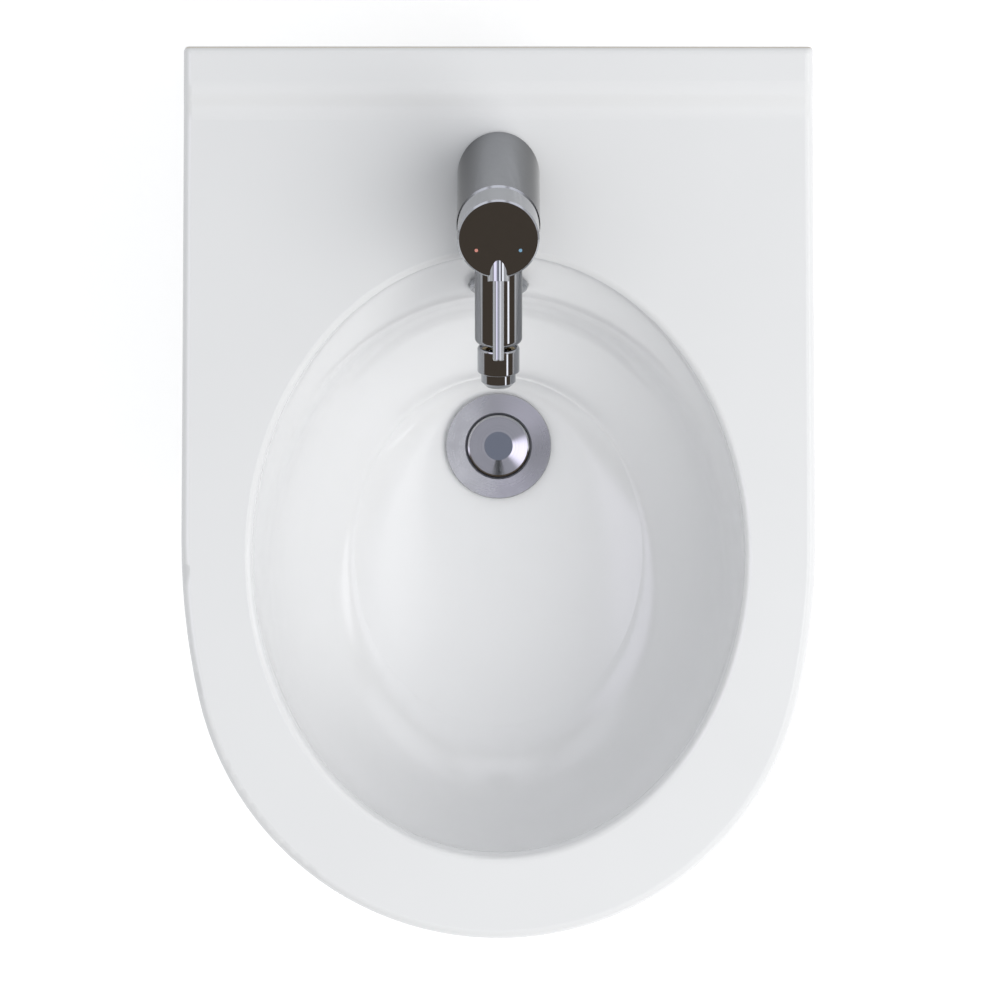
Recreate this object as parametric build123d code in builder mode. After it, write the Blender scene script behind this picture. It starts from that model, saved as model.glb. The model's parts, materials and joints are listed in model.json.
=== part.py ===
from build123d import *

import math
import os

# Wall hung bidet with a single-lever mixer and a push-open waste.
# Millimetres. +Z is up, +Y points into the wall and -Y to the user.
# The origin lies on the wall plane, midway between the two wall studs.

# How far cutting solids run past the face they cut, and how near counts as the same place
OVERCUT = 1.0
NEAR = 0.01

# Ceramic body, overall
RIM_Z = 85.0
HALF_WIDTH = 185.0
LENGTH = 520.0
BOTTOM_Z = -205.0
WALL = 11.0
BACK_WALL = 12.0
DECK = 14.0
WALL_END_NARROWING = 1.7
FRONT_RADIUS_SHARE = 0.9687
FLANK_RADIUS_SHARE = 2.27
BACK_CORNER_RADIUS = 3.0
TOP_EDGE_RADIUS = 5.0

# Lower hull: heights below the straight sides, with how far each side and the front draw in there
SIDE_Z = -22.0
HULL_DRAW_IN = [(-60.0, 4.0, 17.0), (-130.0, 22.0, 90.0), (BOTTOM_Z, 50.0, 175.0)]

# Raised strip of the deck along the wall
STRIP_RISE = 5.0
STRIP_FLAT = 20.0
STRIP_RUN = 23.0

# Bowl: the rim's width at the sides and the front, and the deck's depth behind the bowl
RIM_SIDE = 41.0
RIM_FRONT = 42.0
DECK_LENGTH = 130.0
# Height of each level of the bowl's wall, with how far its sides, back and front draw in there
BOWL_DRAW_IN = [
    (RIM_Z, 0.0, 0.0, 0.0),
    (55.0, 4.0, 7.0, 5.0),
    (20.0, 11.0, 18.0, 14.0),
    (-6.0, 22.0, 33.0, 27.0),
    (-22.0, 36.0, 51.0, 40.0),
    (-31.0, 47.0, 58.0, 55.0),
    (-36.0, 58.0, 61.0, 78.0),
]
# Levels of the floor, as shares of the way from the foot of the wall to the waste's seat
FLOOR_SHARES = [0.3, 0.65]
FLOOR_FALL_POWER = 2.0
BOWL_SHELL = 11.0
BOWL_EDGE_RADIUS = 4.0

# Waste seat in the bowl's floor
DRAIN_Y = -232.0
FLOOR_Z = -45.0
SEAT_RADIUS = 34.0
DRAIN_HOLE_RADIUS = 23.0
DRAIN_BOSS_RADIUS = 44.0
DRAIN_BOSS_Z = -74.0

# Overflow: ring on the back wall of the bowl, and the channel behind it
OVERFLOW_Y = -137.2
OVERFLOW_Z = 56.0
OVERFLOW_TILT = 14.0
OVERFLOW_RING_RADIUS = 17.2
OVERFLOW_RING_HEIGHT = 4.2
OVERFLOW_HOLE_RADIUS = 12.0
OVERFLOW_SLEEVE_LENGTH = 7.0
OVERFLOW_SLEEVE_WALL = 1.0
OVERFLOW_RING_ROUND = 2.2
OVERFLOW_FLAT_MARGIN = 0.4
OVERFLOW_FLAT_REACH = 12.6
OVERFLOW_REACH = 18.0
CHANNEL_MOUTH_LAP = 3.0
CHANNEL_MOUTH_Y = DRAIN_Y + DRAIN_HOLE_RADIUS - CHANNEL_MOUTH_LAP
CHANNEL_HALF_WIDTH = 10.0
CHANNEL_WALL = 6.0
CHANNEL_INNER = [
    (-128, 68),
    (-128, 48),
    (-139, 18),
    (-166, -26),
    (-183, -55),
    (CHANNEL_MOUTH_Y, -57),
    (CHANNEL_MOUTH_Y, -67),
    (-177, -66),
    (-154, -32),
    (-127, 22),
    (-116, 48),
    (-116, 68),
]
SPINE_OUTER = [
    (-140, 74),
    (-150, 20),
    (-185, -40),
    (DRAIN_Y, -46),
    (DRAIN_Y, DRAIN_BOSS_Z),
    (-172, DRAIN_BOSS_Z),
    (-146, -36),
    (-119, 20),
    (-108, 46),
    (-108, 74),
]

# Wall fixing
STUD_SPACING = 180.0
STUD_HOLE_RADIUS = 6.5
BARREL_RADIUS = 17.0
BARREL_LENGTH = 62.0
BARREL_CLEARANCE = 0.3
TUNNEL_WALL = 9.0
SIDE_HOLE_CLEARANCE = 1.0
SIDE_SCREW_Y = -46.6
SIDE_SCREW_RADIUS = 5.0
SIDE_SCREW_CHAMFER = 1.0
SIDE_HEAD_RADIUS = 6.5
SIDE_HEAD_LENGTH = 3.0
SIDE_CAP_RADIUS = 8.6
SIDE_CAP_PROUD = 1.6
SIDE_CAP_DEPTH = 4.0
SIDE_CAP_CLEARANCE = 0.3
SIDE_WASHER = 1.0
SIDE_CAP_WALL = 1.0
SIDE_CAP_ROUND = 0.7
SIDE_SCREW_TIP_GAP = 0.8
SIDE_SOCKET_RADIUS = 3.4
SIDE_SOCKET_DEPTH = 2.4

# Openings for the plumbing
WINDOW_HALF_WIDTH = 58.0
WINDOW_TOP_Z = 45.0
ACCESS_HALF_WIDTH = 90.0
ACCESS_FRONT = 280.0
WINDOW_CORNER_RADIUS = 12.0
ACCESS_CORNER_RADIUS = 30.0

# Mixer, measured along its leaning axis from the deck
TAP_Y = -75.0
TAP_HOLE_RADIUS = 17.5
LEAN = 20.0
BODY_RADIUS = 24.0
CAP_RADIUS = 23.5
CAP_TOP = 119.2
CAP_HEIGHT = 23.0
SPLIT_GAP = 1.5
CAP_WALL = 1.5
CAP_ROOF = 4.0
PIVOT_BELOW_SKIRT = 20.0
SHOULDER_CHAMFER = 1.5
BASE_GASKET = 1.0
GASKET_INSET = 0.8

# Cartridge, measured along the same axis
CHAMBER_FLOOR = 54.0
CHAMBER_RADIUS = 18.0
NUT_SEAT = 84.0
NUT_RADIUS = 20.2
NUT_HEIGHT = 6.0
NUT_BORE_RADIUS = 13.5
NUT_SLOTS = 4
NUT_SLOT_SIZE = 3.0
HOUSING_RADIUS = 17.5
HOUSING_BORE_RADIUS = 15.0
SEAL_THICKNESS = 1.2
HOUSING_BASE = 2.8
DISC_THICKNESS = 3.5
DISC_FILM = 0.04
MOVING_DISC_THICKNESS = 2.5
MOVING_DISC_RADIUS = 11.8
MOVING_DISC_OFFSET = 2.55
CARRIER_HEIGHT = 4.0
CARRIER_RECESS_RADIUS = 4.6
ROTOR_GAP = 0.3
ROTOR_SLOT_LENGTH = 22.0
SLIDING_GAP = 0.1
FLANGE_LIP = 2.0
FLANGE_LIP_RADIUS = 19.6
FIXED_DISC_RADIUS = 14.6
SEAL_RADIUS = 16.5
OUTLET_OFFSET = 9.0
OUTLET_RADIUS = 4.0
MIXING_POCKET = 1.2
MIXING_POCKET_SHARES = (0.7, 0.45)
RECESS_FLOOR = 0.6
AXLE_LENGTH = 28.4
AXLE_RADIUS = 2.0
RUNNING_FIT = 0.05
STEM_SIZE = 8.0
STEM_TIP_SIZE = 6.0
STEM_TIP_LENGTH = 11.0
PORT_RADIUS = 3.5
PORT_OFFSET = 8.5

# Lever, horizontal, through the front of the cap
LEVER_Z = 186.6
LEVER_BOSS_RADIUS = 6.1
LEVER_BOSS_FRONT_Y = -139.5
LEVER_BOSS_BACK_Y = -126.0
LEVER_PIN_RADIUS = 3.15
LEVER_TIP_Y = -184.9
LEVER_SPIGOT_RADIUS = 2.5
LEVER_SPIGOT_END_Y = -119.5
HUB_RADIUS = 9.0
HUB_BOTTOM = 100.0
DOT_RADIUS = 1.0
DOT_DEPTH = 0.6
DOT_X = 12.6
DOT_FORWARD = 6.7
GRUB_RADIUS = 2.0
GRUB_LENGTH = 4.6
GRUB_ALONG = 103.2
CAP_CHAMFER = 1.0
LUG_HALF_WIDTH = 8.6
LUG_BOTTOM = 105.0
LUG_REACH = 21.0
STEM_TOP = 113.0
LEVER_TIP_CHAMFER = 0.6

# Spout, with its swivel nozzle, measured from the spout's end
SPOUT_ROOT = 46.0
SPOUT_SLOPE = 18.0
SPOUT_RADIUS = 13.8
SPOUT_END_Y = -172.8
SPOUT_END_ROUND = 3.0
SPOUT_BORE_RADIUS = 5.0
BALL_RADIUS = 8.5
BALL_INSET = 7.0
BALL_SOCKET_CLEARANCE = 0.2
BALL_NECK_RADIUS = 5.0
SLIP_RING_THICKNESS = 2.0
SLIP_RING_GAP = 0.3
BALL_BORE_RADIUS = 3.0
NECK_END = 6.0
RETAINER_RADIUS = 10.1
RETAINER_DEPTH = 5.0
RETAINER_BORE_RADIUS = 7.6
RETAINER_SEAT_RADIUS = 8.45
RETAINER_SEAT_DEPTH = 2.7
COLLAR_GAP = 2.2
COLLAR_RADIUS = 12.3
COLLAR_END = 17.5
COLLAR_ROUND = 1.6
COLLAR_FLOOR = 7.0
COLLAR_BORE_RADIUS = 9.2
NOZZLE_RADIUS = 10.1
NOZZLE_END = 25.0
NOZZLE_CHAMFER = 1.8
NOZZLE_SPIGOT_START = 11.0
NOZZLE_BORE_RADIUS = 7.8
INSERT_START = 13.0
INSERT_PROUD = 1.2
INSERT_PLATE = 3.0
INSERT_WALL = 1.2
INSERT_HOLE_RADIUS = 0.8
INSERT_HOLE_PITCH = 2.4

# Mixer fixing under the deck
STUD_Y = -63.5
STUD_RADIUS = 4.0
STUD_IN_BASE = 11.0
STUD_END_CHAMFER = 0.5
STUD_BELOW_DECK = 40.0
INLET_Y = -79.0
INLET_RADIUS = 4.5
INLET_DEPTH = 12.0
HORSESHOE_RADIUS = 24.0
HORSESHOE_MOUTH = 15.5
HORSESHOE_MOUTH_Y = -70.5
STUD_HOLE_CLEARANCE = 0.4
HORSESHOE_GASKET = 3.0
HORSESHOE_PLATE = 3.0
STUD_NUT_FLATS = 13.0
STUD_NUT_HEIGHT = 6.5

# Waste
FLANGE_RADIUS = 31.5
FLANGE_EDGE = 2.0
FLANGE_FALL = 1.1
FLANGE_MOUTH_RADIUS = 20.0
WASTE_CHAMFER = 1.0
SEAT_GASKET = 1.5
PLUG_BORE_RADIUS = 18.9
PLUG_LEDGE_Z = -46.0
PLUG_RADIUS = 18.4
PLUG_SEAL = 1.5
PLUG_SEAL_WIDTH = 1.8
PLUG_EDGE_HEIGHT = 3.0
PLUG_RISE = 0.4
PLUG_DISH_RADIUS = 8.5
PLUG_DISH_DEPTH = 2.2
PLUG_RIM = 1.0
PLUG_BOSS_RADIUS = 5.0
PLUG_BOSS_DEPTH = 2.0
TUBE_RADIUS = 20.95
TUBE_BORE_RADIUS = 18.0
TUBE_END_Z = -128.0
THREAD_RELIEF = 3.0
THREAD_RELIEF_DEPTH = 1.2
TUBE_SLOT_HALF_WIDTH = 8.0
TUBE_SLOT_LOW_Z = -66.0
TUBE_SLOT_HIGH_Z = -58.0
BRIDGE_TOP_Z = -70.0
BRIDGE_HEIGHT = 6.0
BRIDGE_WIDTH = 4.0
BRIDGE_ROOT = 1.0
BRIDGE_BOSS_RADIUS = 7.0
LATCH_RADIUS = 6.0
LATCH_HEIGHT = 19.5
LATCH_STUB_RADIUS = 3.5
LATCH_STUB = 4.0
LATCH_FLOOR = 1.5
PLUG_STEM_RADIUS = 3.0
PLUG_STEM_END_Z = -61.5
LOWER_GASKET = 6.0
SLIP_WASHER = 1.5
BACK_NUT_FLATS = 58.0
BACK_NUT_HEIGHT = 9.0
GASKET_OUTER_RADIUS = 31.0
SEAT_GASKET_INNER_RADIUS = 23.5
SEAT_GASKET_OUTER_RADIUS = 30.0
THREAD_CLEARANCE = 0.1

# Directions and reference points worked out from the sizes
lean_sin = math.sin(math.radians(LEAN))
lean_cos = math.cos(math.radians(LEAN))
slope_sin = math.sin(math.radians(SPOUT_SLOPE))
slope_cos = math.cos(math.radians(SPOUT_SLOPE))

mixer_base = Vector(0, TAP_Y, RIM_Z)
mixer_up = Vector(0, -lean_sin, lean_cos)
mixer_forward = Vector(0, -lean_cos, -lean_sin)
mixer_profile = Plane(origin=mixer_base, x_dir=(1, 0, 0), z_dir=mixer_forward)
mixer_plane = Plane(origin=mixer_base, x_dir=(1, 0, 0), z_dir=mixer_up)

skirt_bottom = CAP_TOP - CAP_HEIGHT
barrel_top = skirt_bottom - SPLIT_GAP
pivot = skirt_bottom - PIVOT_BELOW_SKIRT
pivot_plane = Plane(
    origin=mixer_base + mixer_up * pivot, x_dir=(0, 1, 0), z_dir=(1, 0, 0)
)

spout_root_y = TAP_Y - SPOUT_ROOT * lean_sin
spout_root_z = RIM_Z + SPOUT_ROOT * lean_cos
spout_length = (spout_root_y - SPOUT_END_Y) / slope_cos
spout_end = (0, SPOUT_END_Y, spout_root_z - spout_length * slope_sin)
spout_forward = (0, -slope_cos, -slope_sin)
spout_profile = Plane(origin=spout_end, x_dir=(1, 0, 0), z_dir=(0, slope_sin, -slope_cos))

drain_plane = Plane(origin=(0, DRAIN_Y, 0), x_dir=(1, 0, 0), z_dir=(0, 0, 1))
waste_profile = Plane(origin=(0, DRAIN_Y, 0), x_dir=(1, 0, 0), z_dir=(0, -1, 0))

tilt_sin = math.sin(math.radians(OVERFLOW_TILT))
tilt_cos = math.cos(math.radians(OVERFLOW_TILT))
overflow_centre = (0, OVERFLOW_Y, OVERFLOW_Z)
overflow_out = (0, -tilt_cos, tilt_sin)
overflow_profile = Plane(origin=overflow_centre, x_dir=(1, 0, 0), z_dir=(0, -tilt_sin, -tilt_cos))

stud_x = STUD_SPACING / 2
flank_radius = FLANK_RADIUS_SHARE * HALF_WIDTH
front_radius = FRONT_RADIUS_SHARE * HALF_WIDTH
flank_turn = math.acos((flank_radius - HALF_WIDTH) / (flank_radius - front_radius))
flank_start = LENGTH - front_radius - (flank_radius - front_radius) * math.sin(flank_turn)
side_face_x = HALF_WIDTH - WALL_END_NARROWING + WALL_END_NARROWING * -SIDE_SCREW_Y / flank_start
lever_profile = Plane(origin=(0, 0, LEVER_Z), x_dir=(1, 0, 0), z_dir=(0, 0, -1))


def polygon(plane, points):
    """A closed straight-sided profile on a plane."""
    with BuildSketch(plane) as profile:
        with BuildLine():
            Polyline(*points, close=True)
        make_face()
    return profile.sketch


def d_outline(height, half_width, front, back=0.0):
    """The plan outline: flat at the wall, almost straight sides, round front."""
    front_radius = FRONT_RADIUS_SHARE * half_width
    flank_radius = FLANK_RADIUS_SHARE * half_width
    turn = math.acos((flank_radius - half_width) / (flank_radius - front_radius))
    front_centre_y = -(front - front_radius)
    flank_y = front_centre_y + (flank_radius - front_radius) * math.sin(turn)
    flank_x = flank_radius - half_width
    wall_half = half_width - WALL_END_NARROWING
    contact_x = front_radius * math.cos(turn)
    contact_y = front_centre_y - front_radius * math.sin(turn)
    middle_x = flank_radius * math.cos(turn / 2) - flank_x
    middle_y = flank_y - flank_radius * math.sin(turn / 2)
    with BuildSketch(Plane.XY.offset(height)) as outline:
        with BuildLine():
            Line((-wall_half, -back), (wall_half, -back))
            Line((wall_half, -back), (half_width, flank_y))
            ThreePointArc((half_width, flank_y), (middle_x, middle_y), (contact_x, contact_y))
            ThreePointArc((contact_x, contact_y), (0, -front), (-contact_x, contact_y))
            ThreePointArc((-contact_x, contact_y), (-middle_x, middle_y), (-half_width, flank_y))
            Line((-half_width, flank_y), (-wall_half, -back))
        make_face()
        fillet(outline.vertices().group_by(Axis.Y)[-1], BACK_CORNER_RADIUS)
    return outline.sketch


def oval(height, half_width, back, front):
    """One level of the bowl, an ellipse between its back and its front."""
    plane = Plane(origin=(0, -(back + front) / 2, height), x_dir=(1, 0, 0), z_dir=(0, 0, 1))
    with BuildSketch(plane) as outline:
        Ellipse(half_width, (front - back) / 2)
    return outline.sketch


def blend(first, last, share):
    """The value at a share of the way from first to last."""
    return first + (last - first) * share


def hull_sections():
    """Height, half width and front of each level of the lower hull, from the top down."""
    return [(height, HALF_WIDTH - side, LENGTH - front) for height, side, front in HULL_DRAW_IN]


def wall_sections():
    """Height, half width, back and front of each level of the bowl's wall, from the rim down."""
    return [
        (height, HALF_WIDTH - RIM_SIDE - side, DECK_LENGTH + back, LENGTH - RIM_FRONT - front)
        for height, side, back, front in BOWL_DRAW_IN
    ]


def floor_sections():
    """Levels of the bowl's floor, which falls fast at the foot of the wall and then gently to the seat."""
    foot_z, half_width, back, front = wall_sections()[-1]
    sections = []
    for share in FLOOR_SHARES:
        height = blend(FLOOR_Z, foot_z, (1 - share) ** FLOOR_FALL_POWER)
        half_width_here = blend(half_width, SEAT_RADIUS, share)
        back_here = blend(back, -DRAIN_Y - SEAT_RADIUS, share)
        front_here = blend(front, -DRAIN_Y + SEAT_RADIUS, share)
        sections.append((height, half_width_here, back_here, front_here))
    return sections


def bowl(offset, top, ruled=False, mode=Mode.ADD):
    """The bowl's inside, from a top height down to the waste's seat, grown outwards by an offset."""
    levels = []
    for height, half_width, back, front in wall_sections() + floor_sections():
        drop = offset * ((RIM_Z - height) / (RIM_Z - FLOOR_Z)) ** 2
        level = top if height == RIM_Z else height - drop
        levels.append(oval(level, half_width + offset, back - offset, front + offset))
    levels.append(disc(drain_plane.offset(FLOOR_Z - offset), SEAT_RADIUS + offset))
    foot = len(BOWL_DRAW_IN) - 1
    loft(levels[: foot + 1], ruled=ruled, mode=mode)
    loft(levels[foot:], ruled=ruled, mode=mode)


def turned(plane, points, mode=Mode.ADD):
    """Turn a profile, given as radius and distance, about its plane's own y direction."""
    revolve(polygon(plane, points), axis=Axis(plane.origin, plane.y_dir), mode=mode)


def disc(plane, radius):
    """A round face on a plane."""
    with BuildSketch(plane) as profile:
        Circle(radius)
    return profile.sketch


def stud_plane(side):
    """The plane of the wall at one stud, facing away from the wall."""
    return Plane(origin=(side * stud_x, 0, 0), x_dir=(1, 0, 0), z_dir=(0, -1, 0))


def side_plane(side, distance):
    """A plane across one side screw, facing outwards."""
    origin = (side * distance, SIDE_SCREW_Y, 0)
    return Plane(origin=origin, x_dir=(0, 1, 0), z_dir=(side, 0, 0))


def side_profile(side):
    """A plane through one side screw, its y direction outwards."""
    return Plane(origin=(0, SIDE_SCREW_Y, 0), x_dir=(0, 0, 1), z_dir=(0, side, 0))


def stud_profile(side):
    """A plane through one stud, its y direction away from the wall."""
    return Plane(origin=(side * stud_x, 0, 0), x_dir=(1, 0, 0), z_dir=(0, 0, -1))


def ring_edge(piece, plane, radius, distance):
    """The circular edge of a turned piece at a radius and a distance along its axis."""
    centre = plane.origin + plane.y_dir * distance
    circles = piece.edges().filter_by(GeomType.CIRCLE)
    same_place = circles.filter_by(lambda edge: (edge.arc_center - centre).length < NEAR)
    return same_place.filter_by(lambda edge: abs(edge.radius - radius) < NEAR)


def finish(piece, name):
    """Label a finished piece and write its file."""
    piece.part.label = name
    export_step(piece.part, "parts/" + name + ".step")


os.makedirs("parts", exist_ok=True)

# Ceramic body
strip_z = RIM_Z + STRIP_RISE
tunnel_radius = BARREL_RADIUS + BARREL_CLEARANCE
side_seat_x = side_face_x - SIDE_CAP_DEPTH
overflow_plane = Plane(origin=overflow_centre, x_dir=(1, 0, 0), z_dir=overflow_out)
deck_underside = RIM_Z - DECK
deck_cut = 4 * STRIP_RISE
with BuildPart() as ceramic_body:
    # Straight upper sides and the drawn-in lower hull
    extrude(d_outline(SIDE_Z, HALF_WIDTH, LENGTH), amount=strip_z - SIDE_Z)
    levels = [d_outline(SIDE_Z, HALF_WIDTH, LENGTH)]
    for height, half_width, front in hull_sections():
        levels.append(d_outline(height, half_width, front))
    loft(levels)
    # Deck level, with the strip that rises towards the wall
    with BuildSketch(Plane.YZ) as above_deck:
        with BuildLine():
            strip_start = -(STRIP_FLAT + STRIP_RUN)
            strip_middle = -(STRIP_FLAT + STRIP_RUN / 2)
            Line((-LENGTH - deck_cut, RIM_Z), (strip_start, RIM_Z))
            TangentArc(
                (strip_start, RIM_Z), (strip_middle, RIM_Z + STRIP_RISE / 2), tangent=(1, 0)
            )
            TangentArc(
                (-STRIP_FLAT, strip_z),
                (strip_middle, RIM_Z + STRIP_RISE / 2),
                tangent=(-1, 0),
            )
            Polyline(
                (-STRIP_FLAT, strip_z),
                (-STRIP_FLAT, strip_z + deck_cut),
                (-LENGTH - deck_cut, strip_z + deck_cut),
                (-LENGTH - deck_cut, RIM_Z),
            )
        make_face()
    extrude(amount=HALF_WIDTH + deck_cut, both=True, mode=Mode.SUBTRACT)
    top_edges = ceramic_body.edges().filter_by(lambda edge: edge.bounding_box().min.Z > RIM_Z - NEAR)
    fillet(top_edges.filter_by(Axis.X, reverse=True), TOP_EDGE_RADIUS)
    # Hollow underneath
    inner_levels = [d_outline(SIDE_Z, HALF_WIDTH - WALL, LENGTH - WALL, BACK_WALL)]
    for height, half_width, front in hull_sections():
        level = height + WALL if height == BOTTOM_Z else height
        inner_levels.append(d_outline(level, half_width - WALL, front - WALL, BACK_WALL))
    loft(inner_levels, ruled=True, mode=Mode.SUBTRACT)
    extrude(
        d_outline(SIDE_Z, HALF_WIDTH - WALL, LENGTH - WALL, BACK_WALL),
        amount=deck_underside - SIDE_Z,
        mode=Mode.SUBTRACT,
    )
    # Bowl shell, drain boss, overflow spine and the two stud tunnels
    bowl(BOWL_SHELL, deck_underside + OVERCUT, ruled=True)
    extrude(disc(drain_plane.offset(DRAIN_BOSS_Z), DRAIN_BOSS_RADIUS), amount=FLOOR_Z - DRAIN_BOSS_Z)
    extrude(polygon(Plane.YZ, SPINE_OUTER), amount=CHANNEL_HALF_WIDTH + CHANNEL_WALL, both=True)
    for side in (-1, 1):
        extrude(disc(stud_plane(side), tunnel_radius + TUNNEL_WALL), amount=BARREL_LENGTH)
    # Bowl hollow with its gently falling floor, down to the flat seat of the waste
    bowl(0, strip_z + OVERCUT, mode=Mode.SUBTRACT)
    # Waste hole, overflow channel and overflow hole with its flat
    extrude(
        disc(drain_plane.offset(DRAIN_BOSS_Z - OVERCUT), DRAIN_HOLE_RADIUS),
        amount=FLOOR_Z - DRAIN_BOSS_Z + 2 * OVERCUT,
        mode=Mode.SUBTRACT,
    )
    extrude(
        polygon(Plane.YZ, CHANNEL_INNER), amount=CHANNEL_HALF_WIDTH, both=True, mode=Mode.SUBTRACT
    )
    extrude(
        disc(overflow_plane, OVERFLOW_HOLE_RADIUS), amount=-OVERFLOW_REACH, mode=Mode.SUBTRACT
    )
    extrude(
        disc(overflow_plane, OVERFLOW_RING_RADIUS + OVERFLOW_FLAT_MARGIN),
        amount=OVERFLOW_FLAT_REACH,
        mode=Mode.SUBTRACT,
    )
    # Tap hole
    extrude(
        disc(Plane(origin=(0, TAP_Y, deck_underside - OVERCUT)), TAP_HOLE_RADIUS),
        amount=DECK + 2 * OVERCUT,
        mode=Mode.SUBTRACT,
    )
    # Plumbing window in the back wall and access from below
    with BuildSketch(Plane.XZ) as window:
        with Locations((0, (WINDOW_TOP_Z + BOTTOM_Z - WALL) / 2)):
            RectangleRounded(
                2 * WINDOW_HALF_WIDTH, WINDOW_TOP_Z - BOTTOM_Z + WALL, WINDOW_CORNER_RADIUS
            )
    extrude(amount=BACK_WALL + OVERCUT, mode=Mode.SUBTRACT)
    extrude(window.sketch, amount=-OVERCUT, mode=Mode.SUBTRACT)
    with BuildSketch(Plane.XY.offset(BOTTOM_Z - OVERCUT)):
        with Locations((0, -(BACK_WALL + ACCESS_FRONT) / 2)):
            RectangleRounded(
                2 * ACCESS_HALF_WIDTH, ACCESS_FRONT - BACK_WALL, ACCESS_CORNER_RADIUS
            )
    extrude(amount=WALL + 2 * OVERCUT, mode=Mode.SUBTRACT)
    # Stud tunnels, side screw holes and the seats of the side caps
    for side in (-1, 1):
        extrude(
            disc(stud_plane(side).offset(-OVERCUT), tunnel_radius),
            amount=BARREL_LENGTH + 2 * OVERCUT,
            mode=Mode.SUBTRACT,
        )
        extrude(
            disc(side_plane(side, stud_x), SIDE_SCREW_RADIUS + SIDE_HOLE_CLEARANCE),
            amount=side_face_x - stud_x + OVERCUT,
            mode=Mode.SUBTRACT,
        )
        extrude(
            disc(side_plane(side, side_seat_x), SIDE_CAP_RADIUS + SIDE_CAP_CLEARANCE),
            amount=SIDE_CAP_DEPTH + 2 * OVERCUT,
            mode=Mode.SUBTRACT,
        )
    rim_edge = (
        ceramic_body.edges()
        .filter_by(lambda edge: abs(edge.center().Z - RIM_Z) < NEAR)
        .filter_by(lambda edge: edge.length > HALF_WIDTH and edge.is_closed)
        .sort_by(SortBy.LENGTH)[-1:]
    )
    fillet(rim_edge, BOWL_EDGE_RADIUS)
finish(ceramic_body, "ceramic_body")

# Overflow ring, seated on the flat of the bowl's back wall
ring_inner_radius = OVERFLOW_HOLE_RADIUS - SIDE_CAP_CLEARANCE
with BuildPart() as overflow_ring:
    turned(
        overflow_profile,
        [
            (ring_inner_radius - OVERFLOW_SLEEVE_WALL, -OVERFLOW_SLEEVE_LENGTH),
            (ring_inner_radius, -OVERFLOW_SLEEVE_LENGTH),
            (ring_inner_radius, 0),
            (OVERFLOW_RING_RADIUS, 0),
            (OVERFLOW_RING_RADIUS, OVERFLOW_RING_HEIGHT),
            (OVERFLOW_HOLE_RADIUS, OVERFLOW_RING_HEIGHT),
            (OVERFLOW_HOLE_RADIUS, OVERFLOW_SLEEVE_WALL),
            (ring_inner_radius - OVERFLOW_SLEEVE_WALL, OVERFLOW_SLEEVE_WALL),
        ],
    )
    fillet(
        ring_edge(overflow_ring, overflow_profile, OVERFLOW_RING_RADIUS, OVERFLOW_RING_HEIGHT)
        + ring_edge(overflow_ring, overflow_profile, OVERFLOW_HOLE_RADIUS, OVERFLOW_RING_HEIGHT),
        OVERFLOW_RING_ROUND,
    )
finish(overflow_ring, "overflow_ring")

# Wall fixing: barrels that take the wall studs, and the screws that hold the ceramic to them
screw_start = stud_x + STUD_HOLE_RADIUS + SIDE_SCREW_TIP_GAP
washer_outer_x = side_seat_x + SIDE_WASHER
with BuildPart() as fixing_barrels:
    for side in (-1, 1):
        turned(
            stud_profile(side),
            [
                (STUD_HOLE_RADIUS, 0),
                (BARREL_RADIUS, 0),
                (BARREL_RADIUS, BARREL_LENGTH),
                (STUD_HOLE_RADIUS, BARREL_LENGTH),
            ],
        )
        extrude(
            disc(side_plane(side, stud_x + STUD_HOLE_RADIUS / 2), SIDE_SCREW_RADIUS + THREAD_CLEARANCE),
            amount=BARREL_RADIUS,
            mode=Mode.SUBTRACT,
        )
finish(fixing_barrels, "fixing_barrels")

with BuildPart() as side_screws:
    for side in (-1, 1):
        turned(
            side_profile(side),
            [
                (0, screw_start),
                (SIDE_SCREW_RADIUS - SIDE_SCREW_CHAMFER, screw_start),
                (SIDE_SCREW_RADIUS, screw_start + SIDE_SCREW_CHAMFER),
                (SIDE_SCREW_RADIUS, washer_outer_x),
                (SIDE_HEAD_RADIUS, washer_outer_x),
                (SIDE_HEAD_RADIUS, washer_outer_x + SIDE_HEAD_LENGTH),
                (0, washer_outer_x + SIDE_HEAD_LENGTH),
            ],
        )
        with BuildSketch(side_plane(side, washer_outer_x + SIDE_HEAD_LENGTH)):
            RegularPolygon(SIDE_SOCKET_RADIUS, 6)
        extrude(amount=-SIDE_SOCKET_DEPTH, mode=Mode.SUBTRACT)
finish(side_screws, "side_screws")

with BuildPart() as side_washers:
    for side in (-1, 1):
        turned(
            side_profile(side),
            [
                (SIDE_SCREW_RADIUS + SIDE_CAP_CLEARANCE, side_seat_x),
                (SIDE_CAP_RADIUS - SIDE_CAP_CLEARANCE, side_seat_x),
                (SIDE_CAP_RADIUS - SIDE_CAP_CLEARANCE, washer_outer_x),
                (SIDE_SCREW_RADIUS + SIDE_CAP_CLEARANCE, washer_outer_x),
            ],
        )
finish(side_washers, "side_washers")

cap_outer_x = side_face_x + SIDE_CAP_PROUD
with BuildPart() as side_caps:
    for side in (-1, 1):
        turned(
            side_profile(side),
            [
                (SIDE_CAP_RADIUS - SIDE_CAP_WALL, washer_outer_x),
                (SIDE_CAP_RADIUS, washer_outer_x),
                (SIDE_CAP_RADIUS, cap_outer_x),
                (0, cap_outer_x),
                (0, cap_outer_x - SIDE_CAP_WALL),
                (SIDE_CAP_RADIUS - SIDE_CAP_WALL, cap_outer_x - SIDE_CAP_WALL),
            ],
        )
        fillet(ring_edge(side_caps, side_profile(side), SIDE_CAP_RADIUS, cap_outer_x), SIDE_CAP_ROUND)
finish(side_caps, "side_caps")

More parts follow.
